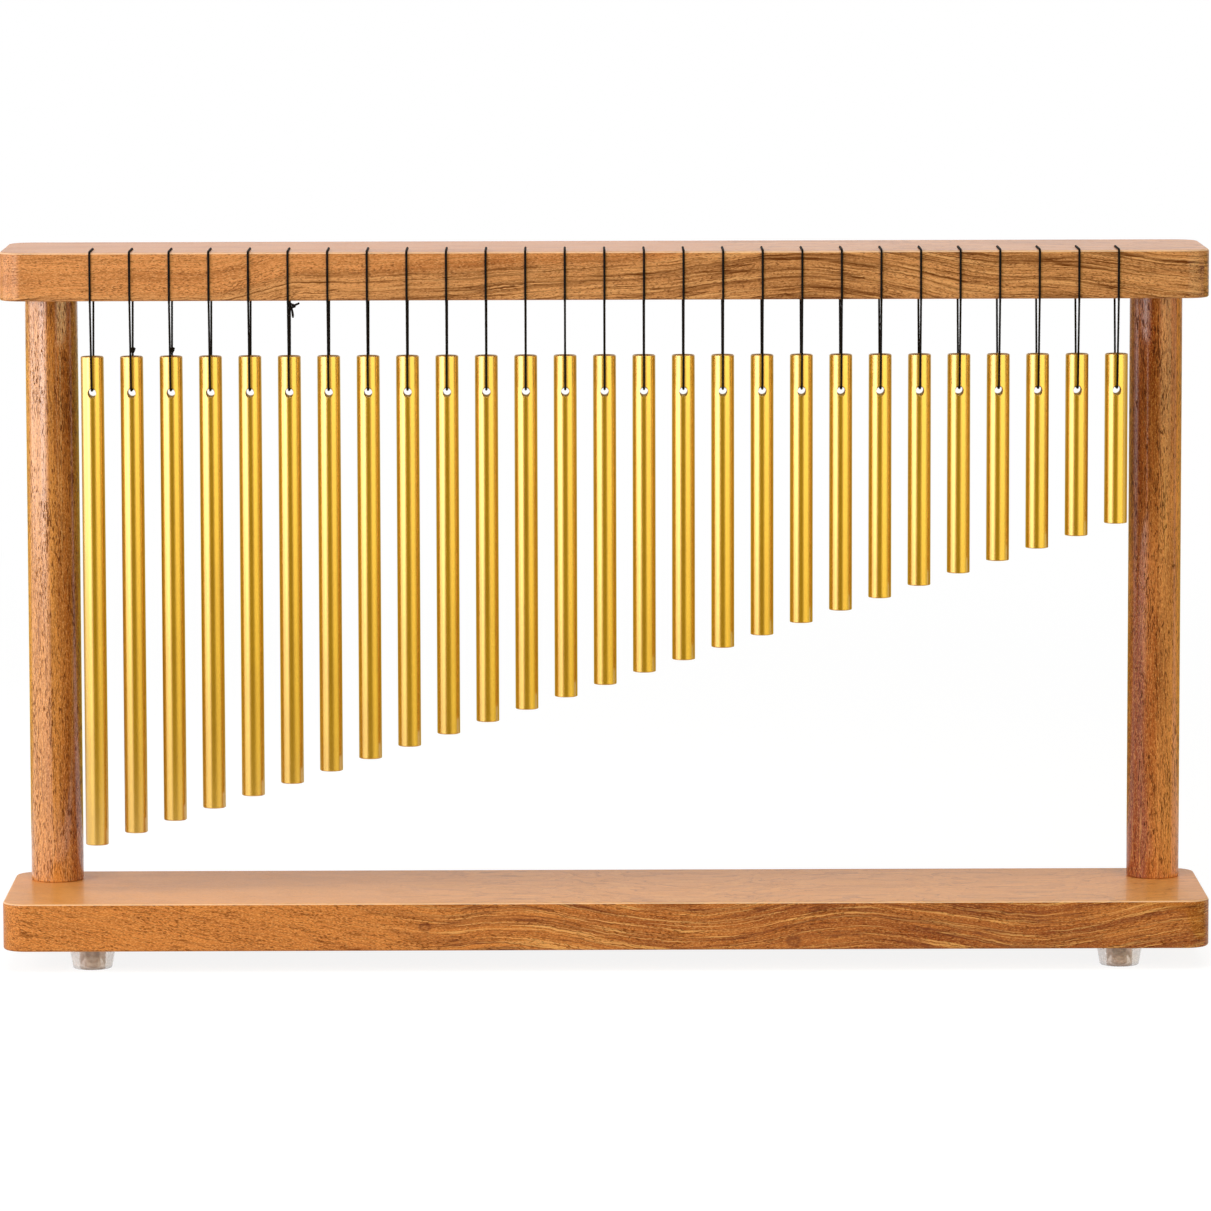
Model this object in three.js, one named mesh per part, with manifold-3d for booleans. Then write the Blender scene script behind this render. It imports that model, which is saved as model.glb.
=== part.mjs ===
// Tabletop chime: gold bars of falling length hang on cord loops from the beam of a wooden stand.
// Millimetres. +X is to the right, -Y to the front and +Z up, with the origin on the table top,
// under the middle of the stand.
import * as THREE from "three";
import { mergeVertices } from "three/addons/utils/BufferGeometryUtils.js";
import Module from "manifold-3d";

// Boards
const boardLength = 500;
const baseDepth = 90;
const baseThickness = 20;
const beamDepth = 70;
const beamThickness = 20;
const boardCornerRadius = 10;
const boardEdgeRound = 1;

// Posts, with a turned tenon at each end
const postDiameter = 22;
const postHeight = 248;
const postChamfer = 0.4;
const postInsetX = 18.5;
const postInsetBack = 21;
const tenonDiameter = 14;
const tenonLength = 12;
const tenonChamfer = 1;
const tenonClearance = 0.3;
const tenonEndClearance = 0.8;

// Feet: a tapered rubber foot, held by a washer and a pan-head screw in its recess
const footHeight = 9;
const footTopDiameter = 19.4;
const footBottomDiameter = 16.4;
const footEdge = 0.6;
const footInsetX = 36.5;
const footInsetY = 16;
const recessDiameter = 9.8;
const recessDepth = 3.4;
const washerDiameter = 9;
const washerThickness = 0.6;
const screwHeadDiameter = 6.8;
const screwHeadHeight = 2.2;
const screwDiameter = 3.5;
const screwInWood = 12;
const screwTip = 3;
const pilotClearance = 0.3;

// Bars, counted from the longest, on the left
const barCount = 27;
const barFromPost = 19.5;
const barDiameter = 9.5;
const barOverBase = 20.5;
const shortestBar = 70.5;
const barChamfer = 0.4;
const barDrop = 23.5;
const barHoleDiameter = 3.5;
const barHoleDown = 15;
const barHoleDeburr = 0.45;

// Cord loops
const cordDiameter = 1;
const cordBend = 1.5;
const cordBite = 0.15;
const cordSeatGap = 0.3;
const cordSwingGap = 0.1;
const cordHoleDiameter = 2.2;
const cordHoleBehindFront = 22;

// Places that follow from the sizes above
const baseBottom = footHeight;
const baseTop = baseBottom + baseThickness;
const beamBottom = baseTop + postHeight;
const beamTop = beamBottom + beamThickness;
const backY = baseDepth / 2;
const beamFrontY = backY - beamDepth;
const postX = boardLength / 2 - postInsetX;
const postY = backY - postInsetBack;
const footX = boardLength / 2 - footInsetX;
const footY = baseDepth / 2 - footInsetY;
const longestBar = postHeight - barDrop - barOverBase;
const barRowLength = 2 * (postX - barFromPost);
const barPitch = barRowLength / (barCount - 1);
const cordRadius = cordDiameter / 2;
const frontStrandY = beamFrontY - cordRadius + cordBite;
const backStrandY = beamFrontY + cordHoleBehindFront;
const barY = (frontStrandY + backStrandY) / 2;
const hingeZ = beamBottom - cordRadius - cordSwingGap;

const postSides = 20;
const footSides = 16;
const barSides = 12;
const holeSides = 8;
const cordHalfSides = 3;
const edgeTurns = 1;
const loopTurns = 2;

const wasm = await Module();
wasm.setup();

function toSolid(geometry) {
  const bare = geometry.index ? geometry.toNonIndexed() : geometry.clone();
  bare.deleteAttribute("normal");
  bare.deleteAttribute("uv");
  const merged = mergeVertices(bare, 1e-4);
  const mesh = new wasm.Mesh({
    numProp: 3,
    vertProperties: merged.attributes.position.array,
    triVerts: new Uint32Array(merged.index.array),
  });
  return new wasm.Manifold(mesh);
}

function toGeometry(solid) {
  const mesh = solid.getMesh();
  const geometry = new THREE.BufferGeometry();
  geometry.setAttribute("position", new THREE.BufferAttribute(mesh.vertProperties, 3));
  geometry.setIndex(new THREE.BufferAttribute(mesh.triVerts, 1));
  geometry.computeVertexNormals();
  return geometry;
}

// A profile of [radius, height] pairs turned about the Z axis.
function turned(profile, sides = postSides) {
  const points = profile.map(([radius, height]) => new THREE.Vector2(radius, height));
  const geometry = new THREE.LatheGeometry(points, sides);
  return geometry.rotateX(Math.PI / 2);
}

// A board with round corners and eased edges, its underside on Z = 0.
function board(length, depth, thickness) {
  const edge = boardEdgeRound;
  const halfX = length / 2 - edge;
  const halfY = depth / 2 - edge;
  const radius = boardCornerRadius - edge;
  const outline = new THREE.Shape();
  outline.moveTo(-halfX + radius, -halfY);
  outline.lineTo(halfX - radius, -halfY);
  outline.absarc(halfX - radius, -halfY + radius, radius, -Math.PI / 2, 0);
  outline.lineTo(halfX, halfY - radius);
  outline.absarc(halfX - radius, halfY - radius, radius, 0, Math.PI / 2);
  outline.lineTo(-halfX + radius, halfY);
  outline.absarc(-halfX + radius, halfY - radius, radius, Math.PI / 2, Math.PI);
  outline.lineTo(-halfX, -halfY + radius);
  outline.absarc(-halfX + radius, -halfY + radius, radius, Math.PI, 1.5 * Math.PI);
  const geometry = new THREE.ExtrudeGeometry(outline, {
    depth: thickness - 2 * edge,
    bevelThickness: edge,
    bevelSize: edge,
    bevelSegments: 1,
    curveSegments: 3,
  });
  return geometry.translate(0, 0, edge);
}

// A path through corner points, each corner rounded to the cord's bend, with a station at each
// end, and where each bend starts, turns and ends.
class CordPath extends THREE.Curve {
  constructor(corners, bend, turns) {
    super();
    const last = corners.length - 1;
    this.stations = [corners[0]];
    for (let i = 1; i < last; i += 1) {
      const corner = corners[i];
      const toBefore = corners[i - 1].clone().sub(corner).normalize();
      const toAfter = corners[i + 1].clone().sub(corner).normalize();
      const half = toBefore.angleTo(toAfter) / 2;
      const bisector = toBefore.clone().add(toAfter).normalize();
      const centre = corner.clone().addScaledVector(bisector, bend / Math.sin(half));
      const start = corner.clone().addScaledVector(toBefore, bend / Math.tan(half)).sub(centre);
      const axis = toAfter.clone().cross(toBefore).normalize();
      const sweep = Math.PI - 2 * half;
      for (let turn = 0; turn <= turns; turn += 1) {
        const arm = start.clone().applyAxisAngle(axis, (sweep * turn) / turns);
        this.stations.push(centre.clone().add(arm));
      }
    }
    this.stations.push(corners[last]);
  }

  get steps() {
    return this.stations.length - 1;
  }

  // Stations are evenly spread over t, so that the bends get the rings.
  getUtoTmapping(u) {
    return u;
  }

  getPoint(t) {
    const place = t * this.steps;
    const before = Math.min(Math.floor(place), this.steps - 1);
    return this.stations[before].clone().lerp(this.stations[before + 1], place - before);
  }

  getTangent(t) {
    const at = Math.round(t * this.steps);
    const before = this.stations[Math.max(at - 1, 0)];
    const after = this.stations[Math.min(at + 1, this.steps)];
    return after.clone().sub(before).normalize();
  }
}

function cordAlong(corners, turns) {
  const points = corners.map(([y, z]) => new THREE.Vector3(0, y, z));
  const path = new CordPath(points, cordBend, turns);
  const section = new THREE.Shape();
  section.absarc(0, 0, cordRadius, 0, 2 * Math.PI);
  return new THREE.ExtrudeGeometry(section, {
    steps: path.steps,
    curveSegments: cordHalfSides,
    extrudePath: path,
    bevelEnabled: false,
  });
}

const wood = { color: 0xb5722f, roughness: 0.45, metalness: 0 };
const goldAnodised = { color: 0xe0b02c, roughness: 0.3, metalness: 1 };
const blackCord = { color: 0x17130f, roughness: 0.85, metalness: 0 };
const clearRubber = { color: 0xcdbcb2, roughness: 0.35, metalness: 0 };

function piece(name, geometry, look) {
  const mesh = new THREE.Mesh(geometry, new THREE.MeshStandardMaterial(look));
  mesh.name = name;
  return mesh;
}

// One foot with its washer and screw, standing on Z = 0 under the board's underside.
function foot() {
  const recessRadius = recessDiameter / 2;
  const washerBottom = recessDepth - washerThickness;
  const headBottom = washerBottom - screwHeadHeight;
  const headRadius = screwHeadDiameter / 2;
  const screwTop = footHeight + screwInWood;
  return turned(
    [
      [0, headBottom],
      [headRadius * 0.7, headBottom],
      [headRadius, headBottom + screwHeadHeight / 2],
      [headRadius, washerBottom],
      [washerDiameter / 2, washerBottom],
      [washerDiameter / 2, recessDepth],
      [recessRadius, recessDepth],
      [recessRadius, 0],
      [footBottomDiameter / 2 - footEdge, 0],
      [footBottomDiameter / 2, footEdge],
      [footTopDiameter / 2, footHeight],
      [screwDiameter / 2, footHeight],
      [screwDiameter / 2, screwTop - screwTip],
      [0, screwTop],
    ],
    footSides,
  );
}

function post() {
  const radius = postDiameter / 2;
  const tenon = tenonDiameter / 2;
  return turned([
    [0, -tenonLength],
    [tenon - tenonChamfer, -tenonLength],
    [tenon, -tenonLength + tenonChamfer],
    [tenon, 0],
    [radius - postChamfer, 0],
    [radius, postChamfer],
    [radius, postHeight - postChamfer],
    [radius - postChamfer, postHeight],
    [tenon, postHeight],
    [tenon, postHeight + tenonLength - tenonChamfer],
    [tenon - tenonChamfer, postHeight + tenonLength],
    [0, postHeight + tenonLength],
  ]);
}

// A blind bore from height `from` to height `to`.
function bore(diameter, from, to) {
  const radius = diameter / 2;
  const profile = [
    [0, from],
    [radius, from],
    [radius, to],
    [0, to],
  ];
  return turned(profile);
}

function mortise(from, to) {
  return bore(tenonDiameter + 2 * tenonClearance, from, to);
}

function makeBase() {
  let solid = toSolid(board(boardLength, baseDepth, baseThickness).translate(0, 0, baseBottom));
  const mortiseFloor = baseTop - tenonLength - tenonEndClearance;
  for (const side of [-1, 1]) {
    const postSeat = mortise(mortiseFloor, baseTop + 1).translate(side * postX, postY, 0);
    solid = solid.subtract(toSolid(postSeat));
    const pilotTop = baseBottom + screwInWood + pilotClearance;
    const pilot = bore(screwDiameter + 2 * pilotClearance, baseBottom - 1, pilotTop);
    solid = solid.subtract(toSolid(pilot.translate(side * footX, -footY, 0)));
    // The rear feet are one solid with the board that they are screwed to.
    solid = solid.add(toSolid(foot().translate(side * footX, footY, 0)));
  }
  return toGeometry(solid);
}

// The part of one cord loop that the beam holds: up the front, over the edge, down the hole.
function cordOverBeam() {
  const overTop = beamTop + cordRadius - cordBite;
  const corners = [
    [frontStrandY, beamBottom],
    [frontStrandY, overTop],
    [backStrandY, overTop],
    [backStrandY, beamBottom],
  ];
  return cordAlong(corners, edgeTurns);
}

function barX(index) {
  return (index - (barCount - 1) / 2) * barPitch;
}

function makeBeam() {
  const depthMiddle = (beamFrontY + backY) / 2;
  const blank = board(boardLength, beamDepth, beamThickness);
  let solid = toSolid(blank.translate(0, depthMiddle, beamBottom));
  const mortiseRoof = beamBottom + tenonLength + tenonEndClearance;
  for (const side of [-1, 1]) {
    const postSeat = mortise(beamBottom - 1, mortiseRoof).translate(side * postX, postY, 0);
    solid = solid.subtract(toSolid(postSeat));
  }
  const holeRadius = cordHoleDiameter / 2;
  const drill = turned(
    [
      [0, beamBottom - 1],
      [holeRadius, beamBottom - 1],
      [holeRadius, beamTop + 1],
      [0, beamTop + 1],
    ],
    holeSides,
  );
  const hole = toSolid(drill.translate(0, backStrandY, 0));
  const strand = toSolid(cordOverBeam());
  for (let index = 0; index < barCount; index += 1) {
    const x = barX(index);
    solid = solid.subtract(hole.translate(x, 0, 0)).add(strand.translate(x, 0, 0));
  }
  return toGeometry(solid);
}

// Heights in a swinging group are measured from its hinge, where the loop leaves the beam.
const barTop = beamBottom - barDrop - hingeZ;
const barHoleZ = barTop - barHoleDown;

function makeBar(length) {
  const radius = barDiameter / 2;
  const bottom = barTop - length;
  const blank = turned(
    [
      [0, bottom],
      [radius - barChamfer, bottom],
      [radius, bottom + barChamfer],
      [radius, barTop - barChamfer],
      [radius - barChamfer, barTop],
      [0, barTop],
    ],
    barSides,
  );
  const hole = barHoleDiameter / 2;
  const flare = [
    [0, -radius - 1],
    [hole + barHoleDeburr + 1, -radius - 1],
    [hole, -radius + barHoleDeburr],
    [hole, radius - barHoleDeburr],
    [hole + barHoleDeburr + 1, radius + 1],
    [0, radius + 1],
  ];
  const points = flare.map(([across, along]) => new THREE.Vector2(across, along));
  const drill = new THREE.LatheGeometry(points, holeSides).translate(0, 0, barHoleZ);
  return toGeometry(toSolid(blank).subtract(toSolid(drill)));
}

// The swinging part of a loop: down from the beam's edge, through the bar and back up to the hole.
function makeLoop() {
  const mouth = barDiameter / 2 + cordSeatGap + cordRadius;
  const inHole = barHoleZ + barHoleDiameter / 2 - cordSeatGap - cordRadius;
  const corners = [
    [frontStrandY - barY, 0],
    [-mouth, inHole],
    [mouth, inHole],
    [backStrandY - barY, 0],
  ];
  return cordAlong(corners, loopTurns);
}

const chime = new THREE.Group();
chime.add(piece("base_board", makeBase(), wood));
chime.add(piece("top_beam", makeBeam(), wood));

for (const [name, side] of [["left", -1], ["right", 1]]) {
  const upright = piece(name + "_post", post(), wood);
  upright.position.set(side * postX, postY, baseTop);
  chime.add(upright);
  const frontFoot = piece("front_" + name + "_foot", foot(), clearRubber);
  frontFoot.position.set(side * footX, -footY, 0);
  chime.add(frontFoot);
}

for (let index = 0; index < barCount; index += 1) {
  const number = String(index + 1).padStart(2, "0");
  const length = longestBar - (index * (longestBar - shortestBar)) / (barCount - 1);
  const swing = new THREE.Group();
  swing.position.set(barX(index), barY, hingeZ);
  swing.add(piece("chime_" + number, makeBar(length), goldAnodised));
  swing.add(piece("cord_" + number, makeLoop(), blackCord));
  chime.add(swing);
}

export default chime;
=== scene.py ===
"""Looks of the tabletop chime: gold bars of falling length on cord loops under a wooden beam.

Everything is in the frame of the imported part: +X right, -Y front, +Z up, table top at Z = 0.
The object's sizes are in millimetres and scaled by MM where meshes are made. The stage is in metres.
"""

import math

import bpy
import numpy as np
from mathutils import Matrix, Vector


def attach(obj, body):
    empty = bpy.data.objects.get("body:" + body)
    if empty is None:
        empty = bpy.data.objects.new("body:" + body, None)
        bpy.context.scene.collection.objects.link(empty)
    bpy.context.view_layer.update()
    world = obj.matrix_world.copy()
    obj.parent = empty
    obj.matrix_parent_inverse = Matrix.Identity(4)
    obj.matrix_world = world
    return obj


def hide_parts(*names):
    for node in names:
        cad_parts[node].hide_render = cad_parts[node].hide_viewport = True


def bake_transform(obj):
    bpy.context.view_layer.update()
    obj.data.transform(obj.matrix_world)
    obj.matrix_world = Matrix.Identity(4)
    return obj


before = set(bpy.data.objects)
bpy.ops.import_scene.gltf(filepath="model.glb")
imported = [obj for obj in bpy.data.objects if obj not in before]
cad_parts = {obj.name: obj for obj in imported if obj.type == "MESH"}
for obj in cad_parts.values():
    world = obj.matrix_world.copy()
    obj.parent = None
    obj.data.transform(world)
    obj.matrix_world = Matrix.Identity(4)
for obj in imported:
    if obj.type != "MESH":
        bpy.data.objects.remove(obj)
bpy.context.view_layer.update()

MM = 0.001
STAND = "stand"

# Meshes: the angle from which an edge is sharp, and a cutter's reach past the face that it opens
SMOOTH_ANGLE = 30.0
PAST_FACE = 1

# Boards, which end on one plane at the back
BOARD_LENGTH = 500
BOARD_CORNER = 10
BOARD_CORNER_STEPS = 12
BOARD_EDGE = 1
EDGE_STEPS = 4
BASE_DEPTH = 90
BEAM_DEPTH = 70
BASE_BOTTOM = 9
BASE_TOP = 29
BEAM_BOTTOM = 277
BEAM_TOP = 297
BACK_Y = 45

# Posts
POST_X = 231.5
POST_Y = 24
POST_RADIUS = 11
POST_SIDES = 96
POST_CHAMFER = 0.4
TENON_RADIUS = 7
TENON_LENGTH = 12
TENON_CHAMFER = 1
TENON_CLEARANCE = 0.3
TENON_END_CLEARANCE = 0.8
MORTISE_SIDES = 48

# Feet
FOOT_X = 213.5
FOOT_Y = 29
FOOT_HEIGHT = 9
FOOT_SIDES = 64
FOOT_TOP_RADIUS = 9.7
FOOT_BOTTOM_RADIUS = 8.2
FOOT_EDGE = 0.6
FOOT_RIM_HEIGHT = 0.5
FOOT_RIM_EASE = 0.2
RECESS_RADIUS = 4.9
RECESS_DEPTH = 3.4
RECESS_CHAMFER = 0.3
WASHER_RADIUS = 4.5
WASHER_THICKNESS = 0.6
WASHER_HOLE_RADIUS = 2.1
WASHER_EASE = 0.12
WASHER_SIDES = 48
SEAT_GAP = 0.02

# Screws: the dome holds shares of the head's radius and heights over its bottom
SCREW_RADIUS = 1.75
SCREW_CLEARANCE = 0.15
SCREW_HEAD_RADIUS = 3.4
SCREW_HEAD_HEIGHT = 2.2
SCREW_HEAD_EASE = 0.1
SCREW_DOME = ((0.45, 0.05), (0.75, 0.35), (0.93, 0.95), (1.0, 1.6))
SCREW_NECK_RADIUS = 0.9
SCREW_NECK_LENGTH = 1.0
SCREW_IN_WOOD = 12
SCREW_TIP = 3
SCREW_POINT = 0.03
SCREW_PITCH = 1.2
SCREW_SIDES = 24
SCREW_SMOOTH_ANGLE = 35.0
THREAD_START = 0.5
THREAD_CORE_RADIUS = 1.15
THREAD_DEPTH = 0.5
THREAD_RINGS_PER_TURN = 6
CROSS_HALF_LENGTH = 1.7
CROSS_HALF_WIDTH = 0.32
CROSS_DEPTH = 1.1
CROSS_PAST_HEAD = 0.5
CROSS_TAPER = 0.75
PILOT_CLEARANCE = 0.3

# Bars, counted from the longest, on the left
BAR_COUNT = 27
BAR_PITCH = 424 / 26
BAR_RADIUS = 4.75
BAR_SIDES = 72
BAR_EDGE = 0.4
BAR_EDGE_STEPS = 3
BAR_TOP = 253.5
LONGEST_BAR = 204
SHORTEST_BAR = 70.5
BAR_SMOOTH_ANGLE = 28.0
BAR_HOLE_RADIUS = 1.75
BAR_HOLE_SIDES = 32
BAR_HOLE_Z = 238.5
BAR_HOLE_DEBURR = 0.45
BAR_HOLE_BELT = 3.2
BAR_Y = -14.175
# A bar grows longer below this distance under its hole.
BAR_STRETCH_BELOW = 20
# Faces of the cut gold, a darker, rougher gold that is partly the cut finish and partly painted shade on
# the ends and the hole's wall: level ones, and those that lie deeper in the bar than this near the hole
CUT_LEVEL = 0.98
CUT_WALL_DEPTH = 0.6
CUT_WALL_HEIGHT = 3

# Cord loops
CORD_RADIUS = 0.5
CORD_HOLE_RADIUS = 1.1
CORD_HOLE_FLARE = 0.35
CORD_HOLE_SIDES = 20
CORD_BEND = 1.5
CORD_STEP = 0.3
FRONT_STRAND_Y = -25.35
BACK_STRAND_Y = -3
HINGE_Z = 276.4
OVER_TOP_Z = 297.35
IN_BAR_Z = 239.6
MOUTH = 5.55
LOOP_SIDES = 10
KNOT_SIDES = 8
CORD_SMOOTH_ANGLE = 80.0

# Braid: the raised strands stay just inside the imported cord
STITCH = 1.1
STRAND_WAVES = 3
CORD_FULL = 0.99
WEAVE_FLOOR = -0.2
GROOVE_ON_WOOD = 0.14
GROOVE_HANGING = 0.36

# Knots: one hangs in front under the beam, two sit above their bars, the rest hide behind them
FRONT_KNOT_BAR = 6
FRONT_KNOT_OFFSET = (1.6, -0.2, -1.3)
FRONT_KNOT_SIZE = (1.45, 0.9, 0.9)
FRONT_KNOT_TAILS = ((2.6, 0.1, 1.6), (1.3, -0.2, -5.2))
FRONT_KNOT_TURN = 28
HIGH_KNOTS = {2: 255.4, 3: 255.4}
HIDDEN_KNOT_RISE = 3.6
SMALL_KNOT_BEHIND = 0.3
SMALL_KNOT_SIZE = (0.8, 0.7, 1.0)
SMALL_KNOT_TAILS = ((0.5, 0.5, 1.1), (-0.5, 0.6, 1.0))
KNOT_STEPS = 42
KNOT_GAP = 0.35
KNOT_DEPTH_SHARE = 0.55
TAIL_STEPS = 10
TAIL_STIFFNESS = 0.35

# Figure of the beam: the grain climbs by the third number between two places in X
BEAM_RISES = (
    (-165, -122, 9.0),
    (-122, 10, 5.0),
    (5, 82, 8.0),
    (84, 168, -13.0),
    (186, 262, -7.0),
)
BEAM_VEINED_UP_TO = (276.5, 281.0)
BEAM_VEINED_FROM_X = (40, 100)

# Figure of the base: a slant at the left end, then long waves. A knot is its X, its Z and its size
BASE_WAVES_FROM_X = (-115, -50)
BASE_WAVE_TOP_X = 105
BASE_WAVE_PER_MM = 0.0433
BASE_WAVE_HEIGHT = 5.0
BASE_SLANT_END_X = -60
BASE_SLANT = -0.2
BASE_KNOTS = ((-75.0, 19.0, 1.9), (77.5, 12.6, 2.2))

# Figure of the posts
POST_LEAN = 1.5
POST_FIGURE_PER_MM = 0.02

# Noises in wood, as scales per millimetre along the grain, across it and in depth
BAND_SCALE = (0.004, 0.16, 0.05)
PATCH_SCALE = (0.014, 0.035, 0.02)
FIBRE_SCALE = (0.04, 1.1, 0.9)
SPECK_SCALE = (1.0, 2.2, 2.2)
VEIN_SCALE = (0.007, 0.32, 0.07)
FINE_VEIN_SCALE = (0.012, 0.80, 0.16)
BREAK_SCALE = (0.08, 0.5, 0.3)
CROWD_SCALE = (0.03, 0.22, 0.1)
DASH_SCALE = (0.11, 1.0, 0.8)
# Lines along a level of a noise: the level, and how far from it a line is full and gone
VEIN_LINE = (0.5, 0.003, 0.017)
FINE_VEIN_LINE = (0.5, 0.003, 0.025)
PALE_LINE = (0.60, 0.006, 0.05)
SHADE_WIDTH = 0.09
# How far the grain wanders, in millimetres, and on which scale
WANDERS = (
    (7.0, (0.009, 0.02, 0.02)),
    (2.6, (0.045, 0.07, 0.05)),
    (0.9, (0.22, 0.2, 0.2)),
)
DEPTH_DRIFT = 0.10
SEED_ALONG = 731.0
SEED_DEPTH = 57.0

# How strongly each mark stains the wood, and how high or deep it lies in the relief
FIBRE_STAIN = 0.34
PALE_SPECK = 0.42
DARK_SPECK = 0.24
SHADE_SHARE = 0.58
KNOT_STAIN = 0.6
# Strength of the painted highlight along the eased top edges
EDGE_HIGHLIGHT_PAINT = 0.6
FIBRE_RELIEF = 0.35
PORE_RELIEF = -0.8
VEIN_RELIEF = -0.3

# Tool marks in the gold, as scales per millimetre: lines along a bar, rings on a cut end
DRAWN_MARKS = (1.7, 1.7, 0.010)
TURNED_MARKS = (0.9, 0.9, 3.0)

# Stage, in metres: the floor's greys are for its shadowed part and for the light that it throws back
FLOOR_HALF = 60.0
FLOOR_SHADOWED = 0.19
FLOOR_LIFT = 0.88
FLOOR_PLAIN = 0.55
FLOOR_FADE = (0.5, 1.6)
ROOM_LIGHT = 0.2
LAMP_AIM = Vector((0, 0, 0.15))
FILL_TINT = (1.0, 0.88, 0.35)

# Cards that only mirrors see, glowing sheets that are no lamps and give painted reflections: angles in
# degrees, levels as emission
CARD_NEAR = 0.32
CARD_FAR = 3.0
CARD_TOP = 3.0
CARD_LIFT = 0.002
CARD_START = 0.22
FRONT_CARD_HALF_ANGLE = 14
FRONT_CARD_TURN = -3
FRONT_CARD_LEVEL = 0.36
REAR_CARD_LEFT = 60
REAR_CARD_RIGHT = 82
REAR_CARD_LEVEL = 0.6
# Golden tint of the dim painted reflections
PAINTED_REFLECTION_TINT = (1.0, 0.76, 0.03)
# The warm card gives a warm painted reflection on the right of the bars
WARM_CARD_AZIMUTHS = (10, 30, 50, 70, 90)
WARM_CARD_LEVEL = 0.97
WARM_PAINTED_REFLECTION_TINT = (1.0, 0.93, 0.22)

# Camera, fitted to the photograph: its place in millimetres, its angles in degrees
CAMERA_PLACE = Vector((-15.2, -2910.1, 485.9))
CAMERA_PITCH = 6.635
CAMERA_YAW = 0.304
CAMERA_ROLL = 0.143
CAMERA_FOCUS_PX = 7013.7
CAMERA_SENSOR = 36
CAMERA_CLIP = (0.1, 200)
IMAGE_PX = 1211


# Meshes


def add_object(name, data):
    obj = bpy.data.objects.new(name, data)
    bpy.context.scene.collection.objects.link(obj)
    return obj


def shade(obj, angle):
    """Smooth faces, with sharp edges where they meet at more than the angle in degrees."""
    mesh = obj.data
    mesh.polygons.foreach_set("use_smooth", [True] * len(mesh.polygons))
    mesh.set_sharp_from_angle(angle=math.radians(angle))
    mesh.update()


def make_mesh(name, points, faces, smooth_angle=SMOOTH_ANGLE):
    """An object at the origin, its points given in millimetres."""
    mesh = bpy.data.meshes.new(name)
    mesh.from_pydata([[c * MM for c in point] for point in points], [], faces)
    mesh.validate()
    mesh.update()
    obj = add_object(name, mesh)
    shade(obj, smooth_angle)
    return obj


def bake_modifiers(obj):
    """Replaces the mesh by what the modifiers make of it."""
    depsgraph = bpy.context.evaluated_depsgraph_get()
    final = bpy.data.meshes.new_from_object(obj.evaluated_get(depsgraph))
    old = obj.data
    obj.modifiers.clear()
    obj.data = final
    bpy.data.meshes.remove(old)
    obj.data.name = obj.name


def cut(obj, cutters):
    """Takes the cutters, closed meshes that don't meet each other, out of the object."""
    for cutter in cutters:
        modifier = obj.modifiers.new("cut", "BOOLEAN")
        modifier.operation = "DIFFERENCE"
        modifier.solver = "EXACT"
        modifier.object = cutter
    bake_modifiers(obj)
    for cutter in cutters:
        bpy.data.objects.remove(cutter)


def even_normals(obj, angle=SMOOTH_ANGLE):
    """Flat faces stay flat up to their eased edges."""
    shade(obj, angle)
    modifier = obj.modifiers.new("normals", "WEIGHTED_NORMAL")
    modifier.keep_sharp = True
    modifier.weight = 100
    bake_modifiers(obj)


def eased_edge(size, steps):
    """Inset and rise of each step round a quarter of a rounded edge."""
    edge = []
    for i in range(steps + 1):
        angle = math.radians(90 * i / steps)
        edge.append((size * (1 - math.sin(angle)), size * (1 - math.cos(angle))))
    return edge


def skin(count, sides, closed=False):
    """Faces between count rings of points, also from the last to the first if closed."""
    faces = []
    for i in range(count if closed else count - 1):
        a = i * sides
        b = (i + 1) % count * sides
        for k in range(sides):
            m = (k + 1) % sides
            faces.append((a + k, a + m, b + m, b + k))
    return faces


def caps(count, sides):
    """Faces that close the first and the last ring."""
    return [tuple(range(sides - 1, -1, -1)), tuple(range((count - 1) * sides, count * sides))]


def turned(profile, sides, centre=(0, 0, 0), axis="Z"):
    """Points and faces of a profile of (radius, height) pairs turned about an axis.

    The profile starts and ends on the axis, or closes on itself.
    """
    points = []
    rings = []
    for radius, height in profile:
        first = len(points)
        if radius <= 0:
            rings.append([first])
            points.append((0, 0, height))
            continue
        rings.append(range(first, first + sides))
        for i in range(sides):
            angle = 2 * math.pi * i / sides
            points.append((radius * math.cos(angle), radius * math.sin(angle), height))
    pairs = list(zip(rings, rings[1:]))
    if profile[0][0] > 0:
        pairs.append((rings[-1], rings[0]))
    faces = []
    for low, high in pairs:
        for i in range(sides):
            j = (i + 1) % sides
            if len(low) == 1:
                faces.append((low[0], high[j], high[i]))
            elif len(high) == 1:
                faces.append((low[i], low[j], high[0]))
            else:
                faces.append((low[i], low[j], high[j], high[i]))
    if axis == "Y":
        points = [(x, -z, y) for x, y, z in points]
    cx, cy, cz = centre
    return [(x + cx, y + cy, z + cz) for x, y, z in points], faces


def turned_object(name, profile, sides, centre, axis="Z"):
    return make_mesh(name, *turned(profile, sides, centre, axis))


def cylinder(radius, low, high, sides, centre):
    return turned([(0, low), (radius, low), (radius, high), (0, high)], sides, centre)


def flared_hole(radius, flare, low, high):
    """Profile of a cutter that opens wider by the flare at both faces of the piece."""
    wide = radius + flare + PAST_FACE
    return [
        (0, low - PAST_FACE),
        (wide, low - PAST_FACE),
        (radius, low + flare),
        (radius, high - flare),
        (wide, high + PAST_FACE),
        (0, high + PAST_FACE),
    ]


def joined(name, parts):
    """One object of several (points, faces)."""
    points = []
    faces = []
    for part_points, part_faces in parts:
        start = len(points)
        points.extend(part_points)
        faces.extend(tuple(i + start for i in face) for face in part_faces)
    return make_mesh(name, points, faces)


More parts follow.
